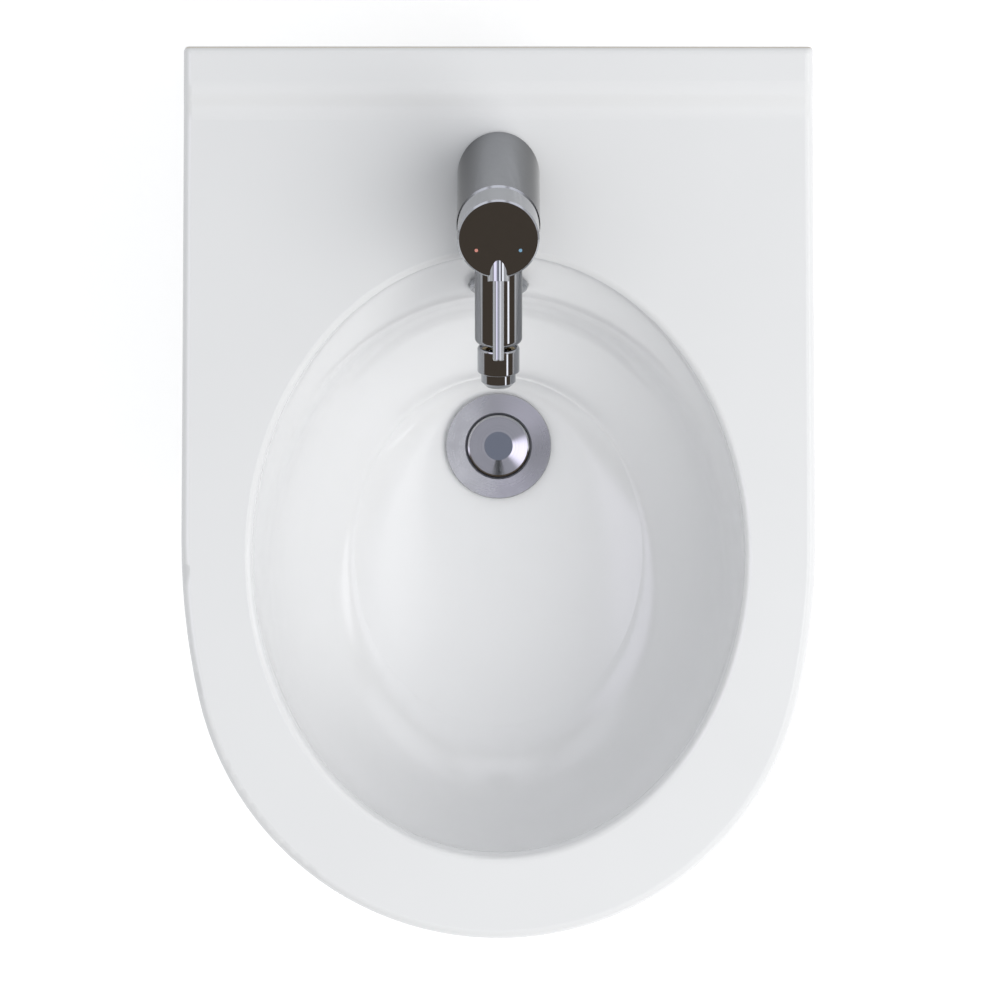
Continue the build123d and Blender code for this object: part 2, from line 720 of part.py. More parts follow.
# Mixer body: leaning barrel and spout in one casting
base_z = RIM_Z + BASE_GASKET
slip_front = -(BALL_INSET + math.sqrt(BALL_RADIUS**2 - SPOUT_BORE_RADIUS**2) + SLIP_RING_GAP)
socket_back = slip_front - SLIP_RING_THICKNESS
socket_radius = BALL_RADIUS + BALL_SOCKET_CLEARANCE
retainer_hole_radius = RETAINER_RADIUS + THREAD_CLEARANCE
nut_hole_radius = NUT_RADIUS + THREAD_CLEARANCE
nut_seat_top = NUT_SEAT + FLANGE_LIP
with BuildPart() as mixer_body:
    turned(
        mixer_profile,
        [
            (0, -BODY_RADIUS),
            (BODY_RADIUS, -BODY_RADIUS),
            (BODY_RADIUS, barrel_top - SHOULDER_CHAMFER),
            (BODY_RADIUS - SHOULDER_CHAMFER, barrel_top),
            (0, barrel_top),
        ],
    )
    turned(
        spout_profile,
        [(0, -spout_length), (SPOUT_RADIUS, -spout_length), (SPOUT_RADIUS, 0), (0, 0)],
    )
    fillet(ring_edge(mixer_body, spout_profile, SPOUT_RADIUS, 0), SPOUT_END_ROUND)
    # Flat foot
    with BuildSketch(Plane(origin=(0, TAP_Y, base_z))):
        Rectangle(4 * BODY_RADIUS, 4 * BODY_RADIUS)
    extrude(amount=-2 * BODY_RADIUS, mode=Mode.SUBTRACT)
    # Cartridge chamber with the thread of its nut
    turned(
        mixer_profile,
        [
            (0, CHAMBER_FLOOR),
            (CHAMBER_RADIUS, CHAMBER_FLOOR),
            (CHAMBER_RADIUS, NUT_SEAT),
            (nut_hole_radius, NUT_SEAT),
            (nut_hole_radius, barrel_top + OVERCUT),
            (0, barrel_top + OVERCUT),
        ],
        mode=Mode.SUBTRACT,
    )
    # Water ways: two inlets up to the chamber, one outlet down to the spout
    with BuildSketch(mixer_plane.offset(INLET_DEPTH)):
        with Locations((-PORT_OFFSET, 0), (PORT_OFFSET, 0)):
            Circle(PORT_RADIUS)
    extrude(amount=CHAMBER_FLOOR - INLET_DEPTH + OVERCUT, mode=Mode.SUBTRACT)
    with BuildSketch(mixer_plane.offset(SPOUT_ROOT)):
        with Locations((0, -OUTLET_OFFSET)):
            Circle(OUTLET_RADIUS)
    extrude(amount=CHAMBER_FLOOR - SPOUT_ROOT + OVERCUT, mode=Mode.SUBTRACT)
    turned(
        spout_profile,
        [
            (0, OUTLET_OFFSET - OUTLET_RADIUS - spout_length),
            (SPOUT_BORE_RADIUS, OUTLET_OFFSET - OUTLET_RADIUS - spout_length),
            (SPOUT_BORE_RADIUS, socket_back),
            (socket_radius, socket_back),
            (socket_radius, -RETAINER_DEPTH),
            (retainer_hole_radius, -RETAINER_DEPTH),
            (retainer_hole_radius, OVERCUT),
            (0, OVERCUT),
        ],
        mode=Mode.SUBTRACT,
    )
    # Threaded holes in the foot for the two supply hoses and the stud
    with BuildSketch(Plane.XY.offset(base_z)):
        with Locations((-PORT_OFFSET, INLET_Y), (PORT_OFFSET, INLET_Y)):
            Circle(INLET_RADIUS)
    extrude(amount=INLET_DEPTH, mode=Mode.SUBTRACT)
    with BuildSketch(Plane.XY.offset(base_z)):
        with Locations((0, STUD_Y)):
            Circle(STUD_RADIUS + THREAD_CLEARANCE)
    extrude(amount=STUD_IN_BASE, mode=Mode.SUBTRACT)
finish(mixer_body, "mixer_body")

with BuildPart() as base_gasket:
    with BuildSketch(Plane(origin=(0, TAP_Y, RIM_Z))):
        Ellipse(BODY_RADIUS - GASKET_INSET, BODY_RADIUS / lean_cos - GASKET_INSET)
        Circle(TAP_HOLE_RADIUS, mode=Mode.SUBTRACT)
    extrude(amount=BASE_GASKET)
finish(base_gasket, "base_gasket")

# Mixer fixing: stud, horseshoe gasket and plate, nut
plate_top_z = deck_underside - HORSESHOE_GASKET
nut_top_z = plate_top_z - HORSESHOE_PLATE
with BuildPart() as mounting_stud:
    with BuildSketch(Plane(origin=(0, STUD_Y, RIM_Z - STUD_BELOW_DECK))):
        Circle(STUD_RADIUS)
    extrude(amount=STUD_BELOW_DECK + BASE_GASKET + STUD_IN_BASE)
    chamfer(mounting_stud.edges().sort_by(Axis.Z)[0], STUD_END_CHAMFER)
finish(mounting_stud, "mounting_stud")


def horseshoe(top, thickness):
    """A plate under the deck, open to the front for the hoses."""
    with BuildSketch(Plane(origin=(0, TAP_Y, top))) as outline:
        Circle(HORSESHOE_RADIUS)
        with Locations((0, HORSESHOE_MOUTH_Y - TAP_Y - HORSESHOE_RADIUS)):
            Rectangle(2 * HORSESHOE_MOUTH, 2 * HORSESHOE_RADIUS, mode=Mode.SUBTRACT)
        with Locations((0, STUD_Y - TAP_Y)):
            Circle(STUD_RADIUS + STUD_HOLE_CLEARANCE, mode=Mode.SUBTRACT)
    extrude(outline.sketch, amount=-thickness)


with BuildPart() as horseshoe_gasket:
    horseshoe(deck_underside, HORSESHOE_GASKET)
finish(horseshoe_gasket, "horseshoe_gasket")

with BuildPart() as horseshoe_plate:
    horseshoe(plate_top_z, HORSESHOE_PLATE)
finish(horseshoe_plate, "horseshoe_plate")

with BuildPart() as stud_nut:
    with BuildSketch(Plane(origin=(0, STUD_Y, nut_top_z))):
        RegularPolygon(STUD_NUT_FLATS / 2, 6, major_radius=False)
        Circle(STUD_RADIUS + THREAD_CLEARANCE, mode=Mode.SUBTRACT)
    extrude(amount=-STUD_NUT_HEIGHT)
finish(stud_nut, "stud_nut")

# Cartridge
seal_top = CHAMBER_FLOOR + SEAL_THICKNESS
disc_seat = seal_top + HOUSING_BASE
sliding_face = disc_seat + DISC_THICKNESS + DISC_FILM
carrier_seat = sliding_face + MOVING_DISC_THICKNESS
carrier_top = carrier_seat + CARRIER_HEIGHT
rotor_bottom = carrier_top + ROTOR_GAP
rotor_radius = HOUSING_BORE_RADIUS - RUNNING_FIT


def ports(bottom, depth):
    """The two inlets and the outlet, cut through a piece of the cartridge."""
    with BuildSketch(mixer_plane.offset(bottom)) as holes:
        with Locations((-PORT_OFFSET, 0), (PORT_OFFSET, 0)):
            Circle(PORT_RADIUS)
        with Locations((0, -OUTLET_OFFSET)):
            Circle(OUTLET_RADIUS)
    extrude(holes.sketch, amount=depth, mode=Mode.SUBTRACT)


with BuildPart() as cartridge_seal:
    extrude(disc(mixer_plane.offset(CHAMBER_FLOOR), SEAL_RADIUS), amount=SEAL_THICKNESS)
    ports(CHAMBER_FLOOR, SEAL_THICKNESS)
finish(cartridge_seal, "cartridge_seal")

with BuildPart() as cartridge_housing:
    turned(
        mixer_profile,
        [
            (0, seal_top),
            (HOUSING_RADIUS, seal_top),
            (HOUSING_RADIUS, NUT_SEAT),
            (FLANGE_LIP_RADIUS, NUT_SEAT),
            (FLANGE_LIP_RADIUS, nut_seat_top),
            (HOUSING_BORE_RADIUS, nut_seat_top),
            (HOUSING_BORE_RADIUS, disc_seat),
            (0, disc_seat),
        ],
    )
    ports(seal_top, HOUSING_BASE)
finish(cartridge_housing, "cartridge_housing")

with BuildPart() as fixed_disc:
    extrude(disc(mixer_plane.offset(disc_seat), FIXED_DISC_RADIUS), amount=DISC_THICKNESS)
    ports(disc_seat, DISC_THICKNESS)
finish(fixed_disc, "fixed_disc")

with BuildPart() as moving_disc:
    with BuildSketch(mixer_plane.offset(sliding_face)):
        with Locations((0, MOVING_DISC_OFFSET)):
            Circle(MOVING_DISC_RADIUS)
    extrude(amount=MOVING_DISC_THICKNESS)
    with BuildSketch(mixer_plane.offset(sliding_face)):
        with Locations((0, MOVING_DISC_OFFSET)):
            Ellipse(*(MOVING_DISC_RADIUS * share for share in MIXING_POCKET_SHARES))
    extrude(amount=MIXING_POCKET, mode=Mode.SUBTRACT)
finish(moving_disc, "moving_disc")

with BuildPart() as disc_carrier:
    with BuildSketch(mixer_plane.offset(carrier_seat)):
        with Locations((0, MOVING_DISC_OFFSET)):
            Circle(MOVING_DISC_RADIUS)
    extrude(amount=CARRIER_HEIGHT)
    extrude(
        disc(mixer_plane.offset(carrier_seat + RECESS_FLOOR), CARRIER_RECESS_RADIUS),
        amount=CARRIER_HEIGHT,
        mode=Mode.SUBTRACT,
    )
finish(disc_carrier, "disc_carrier")

with BuildPart() as cartridge_rotor:
    extrude(disc(mixer_plane.offset(rotor_bottom), rotor_radius), amount=NUT_SEAT - rotor_bottom)
    with BuildSketch(mixer_plane.offset(rotor_bottom)):
        Rectangle(STEM_SIZE + 2 * SLIDING_GAP, ROTOR_SLOT_LENGTH)
    extrude(amount=NUT_SEAT - rotor_bottom, mode=Mode.SUBTRACT)
    extrude(
        disc(pivot_plane, AXLE_RADIUS), amount=rotor_radius + OVERCUT, both=True, mode=Mode.SUBTRACT
    )
finish(cartridge_rotor, "cartridge_rotor")

with BuildPart() as cartridge_axle_pin:
    extrude(disc(pivot_plane, AXLE_RADIUS), amount=AXLE_LENGTH / 2, both=True)
finish(cartridge_axle_pin, "cartridge_axle_pin")

stem_shoulder = pivot - STEM_SIZE / 2
with BuildPart() as lever_stem:
    with BuildSketch(mixer_plane.offset(stem_shoulder)):
        Rectangle(STEM_SIZE, STEM_SIZE)
    extrude(amount=STEM_TOP - stem_shoulder)
    extrude(
        disc(mixer_plane.offset(pivot - STEM_TIP_LENGTH), STEM_TIP_SIZE / 2),
        amount=STEM_TIP_LENGTH,
    )
    extrude(
        disc(pivot_plane, AXLE_RADIUS + RUNNING_FIT), amount=STEM_SIZE, both=True, mode=Mode.SUBTRACT
    )
finish(lever_stem, "lever_stem")

nut_bottom = nut_seat_top
with BuildPart() as cartridge_nut:
    turned(
        mixer_profile,
        [
            (NUT_BORE_RADIUS, nut_bottom),
            (NUT_RADIUS, nut_bottom),
            (NUT_RADIUS, nut_bottom + NUT_HEIGHT),
            (NUT_BORE_RADIUS, nut_bottom + NUT_HEIGHT),
        ],
    )
    with BuildSketch(mixer_plane.offset(nut_bottom + NUT_HEIGHT)):
        with PolarLocations(NUT_RADIUS, NUT_SLOTS):
            Rectangle(NUT_SLOT_SIZE, NUT_SLOT_SIZE)
    extrude(amount=-NUT_SLOT_SIZE, mode=Mode.SUBTRACT)
finish(cartridge_nut, "cartridge_nut")

# Handle: cap, lever, colour dots and grub screw
cap_inner_radius = CAP_RADIUS - CAP_WALL
cap_ceiling = CAP_TOP - CAP_ROOF
grub_plane = Plane(
    origin=mixer_base + mixer_up * GRUB_ALONG, x_dir=(1, 0, 0), z_dir=mixer_forward
)
with BuildPart() as handle_cap:
    turned(
        mixer_profile,
        [
            (cap_inner_radius, skirt_bottom),
            (CAP_RADIUS, skirt_bottom),
            (CAP_RADIUS, CAP_TOP - CAP_CHAMFER),
            (CAP_RADIUS - CAP_CHAMFER, CAP_TOP),
            (0, CAP_TOP),
            (0, HUB_BOTTOM),
            (HUB_RADIUS, HUB_BOTTOM),
            (HUB_RADIUS, cap_ceiling),
            (cap_inner_radius, cap_ceiling),
        ],
    )
    # Lug behind the front wall that carries the lever
    with BuildSketch(mixer_plane.offset(LUG_BOTTOM)):
        with Locations((0, -LUG_REACH / 2)):
            Rectangle(2 * LUG_HALF_WIDTH, LUG_REACH)
    extrude(amount=cap_ceiling - LUG_BOTTOM)
    # Socket of the stem
    with BuildSketch(mixer_plane.offset(HUB_BOTTOM)):
        Rectangle(STEM_SIZE + 2 * RUNNING_FIT, STEM_SIZE + 2 * RUNNING_FIT)
    extrude(amount=STEM_TOP - HUB_BOTTOM, mode=Mode.SUBTRACT)
    # Bores of the lever's boss and its threaded spigot
    turned(
        lever_profile,
        [
            (0, -LEVER_SPIGOT_END_Y),
            (LEVER_SPIGOT_RADIUS + THREAD_CLEARANCE, -LEVER_SPIGOT_END_Y),
            (LEVER_SPIGOT_RADIUS + THREAD_CLEARANCE, -LEVER_BOSS_BACK_Y),
            (LEVER_BOSS_RADIUS, -LEVER_BOSS_BACK_Y),
            (LEVER_BOSS_RADIUS, -LEVER_BOSS_FRONT_Y + CAP_RADIUS),
            (0, -LEVER_BOSS_FRONT_Y + CAP_RADIUS),
        ],
        mode=Mode.SUBTRACT,
    )
    # Grub screw hole, reached from the front under the lever
    extrude(disc(grub_plane, GRUB_RADIUS), amount=CAP_RADIUS + OVERCUT, mode=Mode.SUBTRACT)
    with BuildSketch(mixer_plane.offset(CAP_TOP)):
        with Locations((-DOT_X, -DOT_FORWARD), (DOT_X, -DOT_FORWARD)):
            Circle(DOT_RADIUS)
    extrude(amount=-DOT_DEPTH, mode=Mode.SUBTRACT)
finish(handle_cap, "handle_cap")

with BuildPart() as lever_pin:
    turned(
        lever_profile,
        [
            (0, -LEVER_SPIGOT_END_Y),
            (LEVER_SPIGOT_RADIUS, -LEVER_SPIGOT_END_Y),
            (LEVER_SPIGOT_RADIUS, -LEVER_BOSS_BACK_Y),
            (LEVER_BOSS_RADIUS, -LEVER_BOSS_BACK_Y),
            (LEVER_BOSS_RADIUS, -LEVER_BOSS_FRONT_Y),
            (LEVER_PIN_RADIUS, -LEVER_BOSS_FRONT_Y),
            (LEVER_PIN_RADIUS, -LEVER_TIP_Y - LEVER_TIP_CHAMFER),
            (LEVER_PIN_RADIUS - LEVER_TIP_CHAMFER, -LEVER_TIP_Y),
            (0, -LEVER_TIP_Y),
        ],
    )
finish(lever_pin, "lever_pin")

for name, side in (("hot_dot", -1), ("cold_dot", 1)):
    with BuildPart() as dot:
        with BuildSketch(mixer_plane.offset(CAP_TOP)):
            with Locations((side * DOT_X, -DOT_FORWARD)):
                Circle(DOT_RADIUS)
        extrude(amount=-DOT_DEPTH)
    finish(dot, name)

with BuildPart() as handle_grub_screw:
    extrude(
        disc(grub_plane.offset(STEM_SIZE / 2 + RUNNING_FIT), GRUB_RADIUS - THREAD_CLEARANCE),
        amount=GRUB_LENGTH,
    )
finish(handle_grub_screw, "handle_grub_screw")

# Swivel nozzle
ball_centre = spout_profile.origin - spout_profile.y_dir * BALL_INSET
with BuildPart() as slip_ring:
    turned(
        spout_profile,
        [
            (SPOUT_BORE_RADIUS, socket_back + RUNNING_FIT),
            (BALL_RADIUS, socket_back + RUNNING_FIT),
            (BALL_RADIUS, slip_front),
            (SPOUT_BORE_RADIUS, slip_front),
        ],
    )
finish(slip_ring, "slip_ring")

with BuildPart() as swivel_ball:
    with Locations(ball_centre):
        Sphere(BALL_RADIUS)
    turned(
        spout_profile,
        [(0, -BALL_INSET), (BALL_NECK_RADIUS, -BALL_INSET), (BALL_NECK_RADIUS, NECK_END), (0, NECK_END)],
    )
    turned(
        spout_profile,
        [
            (0, -BALL_INSET - BALL_RADIUS - OVERCUT),
            (BALL_BORE_RADIUS, -BALL_INSET - BALL_RADIUS - OVERCUT),
            (BALL_BORE_RADIUS, NECK_END + OVERCUT),
            (0, NECK_END + OVERCUT),
        ],
        mode=Mode.SUBTRACT,
    )
finish(swivel_ball, "swivel_ball")

with BuildPart() as ball_retainer:
    turned(
        spout_profile,
        [
            (RETAINER_BORE_RADIUS, 0),
            (RETAINER_RADIUS, 0),
            (RETAINER_RADIUS, -RETAINER_DEPTH),
            (RETAINER_SEAT_RADIUS, -RETAINER_DEPTH),
            (RETAINER_BORE_RADIUS, -RETAINER_SEAT_DEPTH),
        ],
    )
finish(ball_retainer, "ball_retainer")

with BuildPart() as swivel_collar:
    turned(
        spout_profile,
        [
            (BALL_NECK_RADIUS + THREAD_CLEARANCE, COLLAR_GAP),
            (COLLAR_RADIUS, COLLAR_GAP),
            (COLLAR_RADIUS, COLLAR_END),
            (COLLAR_BORE_RADIUS, COLLAR_END),
            (COLLAR_BORE_RADIUS, COLLAR_FLOOR),
            (BALL_NECK_RADIUS + THREAD_CLEARANCE, COLLAR_FLOOR),
        ],
    )
    fillet(ring_edge(swivel_collar, spout_profile, COLLAR_RADIUS, COLLAR_GAP), COLLAR_ROUND)
    fillet(ring_edge(swivel_collar, spout_profile, COLLAR_RADIUS, COLLAR_END), COLLAR_ROUND / 2)
finish(swivel_collar, "swivel_collar")

with BuildPart() as aerator_nozzle:
    turned(
        spout_profile,
        [
            (NOZZLE_BORE_RADIUS, NOZZLE_SPIGOT_START),
            (COLLAR_BORE_RADIUS - THREAD_CLEARANCE, NOZZLE_SPIGOT_START),
            (COLLAR_BORE_RADIUS - THREAD_CLEARANCE, COLLAR_END),
            (NOZZLE_RADIUS, COLLAR_END),
            (NOZZLE_RADIUS, NOZZLE_END - NOZZLE_CHAMFER),
            (NOZZLE_RADIUS - NOZZLE_CHAMFER, NOZZLE_END),
            (NOZZLE_BORE_RADIUS, NOZZLE_END),
        ],
    )
finish(aerator_nozzle, "aerator_nozzle")

insert_radius = NOZZLE_BORE_RADIUS - THREAD_CLEARANCE
insert_end = NOZZLE_END + INSERT_PROUD
with BuildPart() as aerator_insert:
    turned(
        spout_profile,
        [
            (0, insert_end - INSERT_PLATE),
            (0, insert_end),
            (insert_radius - INSERT_PROUD / 2, insert_end),
            (insert_radius, insert_end - INSERT_PROUD / 2),
            (insert_radius, INSERT_START),
            (insert_radius - INSERT_WALL, INSERT_START),
            (insert_radius - INSERT_WALL, insert_end - INSERT_PLATE),
        ],
    )
    with BuildSketch(Plane(origin=spout_end, x_dir=(1, 0, 0), z_dir=spout_forward).offset(insert_end)):
        Circle(INSERT_HOLE_RADIUS)
        for row in (1, 2):
            with PolarLocations(row * INSERT_HOLE_PITCH, 6 * row):
                Circle(INSERT_HOLE_RADIUS)
    extrude(amount=-INSERT_PLATE, mode=Mode.SUBTRACT)
finish(aerator_insert, "aerator_insert")

# Waste: gasket under the flange, threaded body, push-open plug, and its fixing below
flange_bottom = FLOOR_Z + SEAT_GASKET
flange_top = flange_bottom + FLANGE_EDGE
washer_top = DRAIN_BOSS_Z - LOWER_GASKET
back_nut_top = washer_top - SLIP_WASHER
relief_top_z = back_nut_top - BACK_NUT_HEIGHT
with BuildPart() as seat_gasket:
    turned(
        waste_profile,
        [
            (SEAT_GASKET_INNER_RADIUS, FLOOR_Z),
            (SEAT_GASKET_OUTER_RADIUS, FLOOR_Z),
            (SEAT_GASKET_OUTER_RADIUS, flange_bottom),
            (SEAT_GASKET_INNER_RADIUS, flange_bottom),
        ],
    )
finish(seat_gasket, "seat_gasket")

with BuildPart() as waste_body:
    turned(
        waste_profile,
        [
            (TUBE_BORE_RADIUS, TUBE_END_Z),
            (TUBE_RADIUS, TUBE_END_Z),
            (TUBE_RADIUS, relief_top_z - THREAD_RELIEF),
            (TUBE_RADIUS - THREAD_RELIEF_DEPTH, relief_top_z - THREAD_RELIEF + THREAD_RELIEF_DEPTH),
            (TUBE_RADIUS - THREAD_RELIEF_DEPTH, relief_top_z - THREAD_RELIEF_DEPTH),
            (TUBE_RADIUS, relief_top_z),
            (TUBE_RADIUS, flange_bottom),
            (FLANGE_RADIUS, flange_bottom),
            (FLANGE_RADIUS, flange_top - FLANGE_EDGE / 4),
            (FLANGE_RADIUS - FLANGE_EDGE / 4, flange_top),
            (FLANGE_MOUTH_RADIUS, flange_top - FLANGE_FALL),
            (PLUG_BORE_RADIUS, flange_top - FLANGE_FALL - WASTE_CHAMFER),
            (PLUG_BORE_RADIUS, PLUG_LEDGE_Z),
            (TUBE_BORE_RADIUS, PLUG_LEDGE_Z - WASTE_CHAMFER),
        ],
    )
    # Bridge across the tube that holds the latch
    with BuildSketch(drain_plane.offset(BRIDGE_TOP_Z)):
        with PolarLocations(TUBE_BORE_RADIUS / 2, 3, start_angle=30):
            Rectangle(TUBE_BORE_RADIUS + BRIDGE_ROOT, BRIDGE_WIDTH)
        Circle(BRIDGE_BOSS_RADIUS)
        Circle(LATCH_STUB_RADIUS + THREAD_CLEARANCE, mode=Mode.SUBTRACT)
    extrude(amount=-BRIDGE_HEIGHT)
    # Slots that take in the overflow water, front and back
    with BuildSketch(Plane.XZ.offset(-DRAIN_Y)):
        with Locations((0, (TUBE_SLOT_LOW_Z + TUBE_SLOT_HIGH_Z) / 2)):
            Rectangle(2 * TUBE_SLOT_HALF_WIDTH, TUBE_SLOT_HIGH_Z - TUBE_SLOT_LOW_Z)
    extrude(amount=TUBE_RADIUS + OVERCUT, both=True, mode=Mode.SUBTRACT)
finish(waste_body, "waste_body")

latch_bottom = BRIDGE_TOP_Z
latch_top = latch_bottom + LATCH_HEIGHT
with BuildPart() as plug_latch:
    turned(
        waste_profile,
        [
            (0, latch_bottom - LATCH_STUB),
            (LATCH_STUB_RADIUS, latch_bottom - LATCH_STUB),
            (LATCH_STUB_RADIUS, latch_bottom),
            (LATCH_RADIUS, latch_bottom),
            (LATCH_RADIUS, latch_top),
            (PLUG_STEM_RADIUS + RUNNING_FIT, latch_top),
            (PLUG_STEM_RADIUS + RUNNING_FIT, latch_bottom + LATCH_FLOOR),
            (0, latch_bottom + LATCH_FLOOR),
        ],
    )
finish(plug_latch, "plug_latch")

plug_bottom = PLUG_LEDGE_Z + PLUG_SEAL
plug_top = plug_bottom + PLUG_EDGE_HEIGHT + PLUG_RISE
with BuildPart() as waste_plug:
    turned(
        waste_profile,
        [
            (0, plug_bottom - PLUG_BOSS_DEPTH),
            (PLUG_BOSS_RADIUS, plug_bottom - PLUG_BOSS_DEPTH),
            (PLUG_BOSS_RADIUS, plug_bottom),
            (PLUG_RADIUS, plug_bottom),
            (PLUG_RADIUS, plug_bottom + PLUG_EDGE_HEIGHT),
            (PLUG_RADIUS - PLUG_RIM, plug_top),
            (PLUG_DISH_RADIUS, plug_top - PLUG_DISH_DEPTH),
            (0, plug_top - PLUG_DISH_DEPTH),
        ],
    )
    extrude(
        disc(drain_plane.offset(plug_bottom - PLUG_BOSS_DEPTH), PLUG_STEM_RADIUS),
        amount=PLUG_BOSS_DEPTH,
        mode=Mode.SUBTRACT,
    )
finish(waste_plug, "waste_plug")

with BuildPart() as plug_seal:
    turned(
        waste_profile,
        [
            (PLUG_RADIUS - PLUG_SEAL_WIDTH, PLUG_LEDGE_Z),
            (PLUG_RADIUS, PLUG_LEDGE_Z),
            (PLUG_RADIUS, plug_bottom),
            (PLUG_RADIUS - PLUG_SEAL_WIDTH, plug_bottom),
        ],
    )
finish(plug_seal, "plug_seal")

with BuildPart() as plug_stem:
    extrude(
        disc(drain_plane.offset(PLUG_STEM_END_Z), PLUG_STEM_RADIUS),
        amount=plug_bottom - PLUG_STEM_END_Z,
    )
finish(plug_stem, "plug_stem")

with BuildPart() as lower_gasket:
    turned(
        waste_profile,
        [
            (TUBE_RADIUS + THREAD_CLEARANCE, DRAIN_BOSS_Z - LOWER_GASKET),
            (GASKET_OUTER_RADIUS, DRAIN_BOSS_Z - LOWER_GASKET),
            (GASKET_OUTER_RADIUS, DRAIN_BOSS_Z),
            (TUBE_RADIUS + THREAD_CLEARANCE, DRAIN_BOSS_Z),
        ],
    )
finish(lower_gasket, "lower_gasket")

with BuildPart() as slip_washer:
    turned(
        waste_profile,
        [
            (TUBE_RADIUS + THREAD_CLEARANCE, back_nut_top),
            (GASKET_OUTER_RADIUS, back_nut_top),
            (GASKET_OUTER_RADIUS, washer_top),
            (TUBE_RADIUS + THREAD_CLEARANCE, washer_top),
        ],
    )
finish(slip_washer, "slip_washer")

with BuildPart() as waste_back_nut:
    with BuildSketch(drain_plane.offset(back_nut_top)):
        RegularPolygon(BACK_NUT_FLATS / 2, 6, major_radius=False)
        Circle(TUBE_RADIUS + THREAD_CLEARANCE, mode=Mode.SUBTRACT)
    extrude(amount=-BACK_NUT_HEIGHT)
finish(waste_back_nut, "waste_back_nut")
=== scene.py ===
"""A wall-hung bidet with its mixer tap, waste and wall fixings, finished, lit and framed from above."""

import json
import math

import bpy
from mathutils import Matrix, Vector


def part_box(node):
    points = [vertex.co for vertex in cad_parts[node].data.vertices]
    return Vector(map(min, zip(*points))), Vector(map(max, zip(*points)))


bl_info = {
    "name": "Wall-hung bidet",
    "version": (1, 0, 0),
    "blender": (4, 5, 0),
    "location": "View3D > Sidebar > Bidet",
    "description": "Finishes the pieces of a wall-hung bidet and sets them in a plain studio",
    "category": "Object",
}

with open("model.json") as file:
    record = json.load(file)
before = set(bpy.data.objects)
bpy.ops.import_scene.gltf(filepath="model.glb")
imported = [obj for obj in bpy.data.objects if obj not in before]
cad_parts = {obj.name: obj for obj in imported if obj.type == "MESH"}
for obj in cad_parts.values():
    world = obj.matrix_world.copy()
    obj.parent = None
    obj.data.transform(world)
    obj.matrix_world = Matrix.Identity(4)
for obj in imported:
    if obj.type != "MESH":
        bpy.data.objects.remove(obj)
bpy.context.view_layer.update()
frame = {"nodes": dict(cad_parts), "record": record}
NODES = frame["nodes"]
SLOTS = {piece["node"]: piece["material_slot"] for piece in frame["record"]["subparts"]}

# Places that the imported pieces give, in metres.
CERAMIC_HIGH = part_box("ceramic_body")[1]
WASTE_LOW, WASTE_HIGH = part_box("waste_body")
WASTE_CENTRE = (WASTE_LOW + WASTE_HIGH) / 2

# The pieces that don't show from above, in the groups in which they are finished.
CARTRIDGE_PIECES = (
    "cartridge_axle_pin",
    "cartridge_housing",
    "cartridge_nut",
    "cartridge_rotor",
    "cartridge_seal",
    "disc_carrier",
    "fixed_disc",
    "moving_disc",
    "lever_stem",
    "handle_grub_screw",
    "slip_ring",
    "ball_retainer",
    "base_gasket",
)
WASTE_PIECES = (
    "seat_gasket",
    "plug_latch",
    "plug_seal",
    "plug_stem",
    "lower_gasket",
    "slip_washer",
    "waste_back_nut",
)
FIXING_PIECES = (
    "fixing_barrels",
    "side_screws",
    "side_washers",
    "mounting_stud",
    "horseshoe_gasket",
    "horseshoe_plate",
    "stud_nut",
)

# Shader helpers

# Noise seldom goes past these two values, so they count as its ends.
NOISE_LOW = 0.3
NOISE_HIGH = 0.7


def new_material(name):
    """An empty node material with a Principled shader joined to its output."""
    material = bpy.data.materials.new(name)
    material.use_nodes = True
    tree = material.node_tree
    tree.nodes.clear()
    output = tree.nodes.new("ShaderNodeOutputMaterial")
    shader = tree.nodes.new("ShaderNodeBsdfPrincipled")
    tree.links.new(shader.outputs["BSDF"], output.inputs["Surface"])
    return material, tree, shader


def feed(tree, socket, value):
    """Joins a socket to another socket, or sets its colour or number."""
    if isinstance(value, bpy.types.NodeSocket):
        tree.links.new(value, socket)
    elif socket.type == "RGBA":
        socket.default_value = (*value, 1)
    else:
        socket.default_value = value


def object_coordinates(tree, centre=(0, 0, 0)):
    """Object coordinates, measured from a centre in metres."""
    place = tree.nodes.new("ShaderNodeTexCoord")
    mapping = tree.nodes.new("ShaderNodeMapping")
    mapping.vector_type = "TEXTURE"
    mapping.inputs["Location"].default_value = centre
    tree.links.new(place.outputs["Object"], mapping.inputs["Vector"])
    return mapping.outputs["Vector"]


def noise(tree, vector, scale, detail=2.0, roughness=0.5):
    """Cloudy noise of so many waves per metre."""
    texture = tree.nodes.new("ShaderNodeTexNoise")
    texture.inputs["Scale"].default_value = scale
    texture.inputs["Detail"].default_value = detail
    texture.inputs["Roughness"].default_value = roughness
    tree.links.new(vector, texture.inputs["Vector"])
    return texture.outputs["Fac"]


def mapped(tree, value, start, end, low, high, smooth=False):
    """A value that goes from low to high, evenly or smoothly, as another goes from start to end."""
    mapper = tree.nodes.new("ShaderNodeMapRange")
    if smooth:
        mapper.interpolation_type = "SMOOTHSTEP"
    mapper.inputs["From Min"].default_value = start
    mapper.inputs["From Max"].default_value = end
    mapper.inputs["To Min"].default_value = low
    mapper.inputs["To Max"].default_value = high
    tree.links.new(value, mapper.inputs["Value"])
    return mapper.outputs["Result"]


def spread(tree, value, low=0.0, high=1.0):
    """A noise value stretched to run from low to high."""
    return mapped(tree, value, NOISE_LOW, NOISE_HIGH, low, high)


